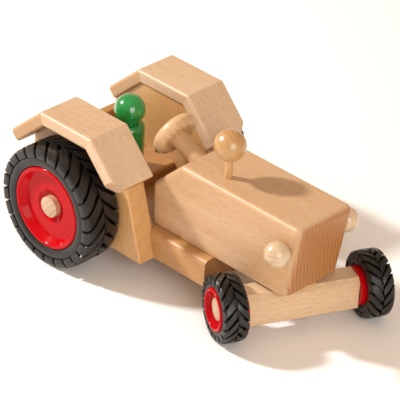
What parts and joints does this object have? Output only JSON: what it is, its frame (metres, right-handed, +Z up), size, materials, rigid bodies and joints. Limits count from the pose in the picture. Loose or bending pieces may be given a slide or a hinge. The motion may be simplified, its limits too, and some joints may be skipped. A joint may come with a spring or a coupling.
{
  "type": "toy tractor",
  "caption": "wooden toy tractor with steered front axle, rubber-tyred wheels on red rims, faceted mudguards, long square bonnet and a green lift-out peg driver",
  "frame": {"origin": "middle of the overall length and width, on the ground the four tyres stand on", "axes": "+X drives forward, +Y is the driver's left, +Z is up"},
  "size_m": [0.2945, 0.174, 0.1445],
  "materials": {
    "beech": "sanded beech with a thin satin oil finish",
    "rubber": "moulded black rubber, slightly shiny",
    "red_plastic": "glossy moulded red plastic",
    "green_lacquer": "turned wood in glossy green lacquer"
  },
  "bodies": {
    "tractor": {"chassis": "beech", "bonnet": "beech", "bonnet_dowels": "beech", "side_panel_right": "beech", "side_panel_left": "beech", "panel_dowels_right": "beech", "panel_dowels_left": "beech", "mudguard_rear_right": "beech", "mudguard_top_right": "beech", "mudguard_front_right": "beech", "mudguard_rear_left": "beech", "mudguard_top_left": "beech", "mudguard_front_left": "beech", "rear_wall": "beech", "floor_board": "beech", "exhaust_stick": "beech", "exhaust_ball": "beech", "lamp_ball_right": "beech", "lamp_ball_left": "beech", "lamp_pin_right": "beech", "lamp_pin_left": "beech", "rear_peg_right": "beech", "rear_peg_left": "beech", "pivot_pin": "beech", "pivot_washer": "beech"},
    "rear_wheel_right": {"rear_tyre_right": "rubber", "rear_rim_right": "red_plastic"},
    "rear_wheel_left": {"rear_tyre_left": "rubber", "rear_rim_left": "red_plastic"},
    "front_axle": {"axle_beam": "beech", "front_peg_right": "beech", "front_peg_left": "beech"},
    "front_wheel_right": {"front_tyre_right": "rubber", "front_rim_right": "red_plastic"},
    "front_wheel_left": {"front_tyre_left": "rubber", "front_rim_left": "red_plastic"},
    "steering": {"steering_column": "beech", "steering_wheel": "beech"},
    "driver": {"driver": "green_lacquer"}
  },
  "joints": [
    {"name": "rear_wheel_right_spin", "type": "hinge", "parent": "tractor", "child": "rear_wheel_right", "pos_m": [-0.0913, -0.0705, 0.05], "axis": [0, 1, 0], "continuous": true},
    {"name": "rear_wheel_left_spin", "type": "hinge", "parent": "tractor", "child": "rear_wheel_left", "pos_m": [-0.0913, 0.0705, 0.05], "axis": [0, 1, 0], "continuous": true},
    {"name": "front_axle_steer", "type": "hinge", "parent": "tractor", "child": "front_axle", "pos_m": [0.0952, 0, 0.03], "axis": [0, 0, 1], "range_deg": [-1.5, 50.5]},
    {"name": "front_wheel_right_spin", "type": "hinge", "parent": "front_axle", "child": "front_wheel_right", "pos_m": [0.07094, -0.05323, 0.0265], "axis": [0.4147, 0.91, 0], "continuous": true},
    {"name": "front_wheel_left_spin", "type": "hinge", "parent": "front_axle", "child": "front_wheel_left", "pos_m": [0.11946, 0.05323, 0.0265], "axis": [0.4147, 0.91, 0], "continuous": true},
    {"name": "steering_turn", "type": "hinge", "parent": "tractor", "child": "steering", "pos_m": [-0.0157, 0, 0.0952], "axis": [-0.9135, 0, 0.4067], "continuous": true},
    {"name": "driver_lift", "type": "slide", "parent": "tractor", "child": "driver", "axis": [0, 0, 1], "range_m": [0, 0.095]}
  ]
}
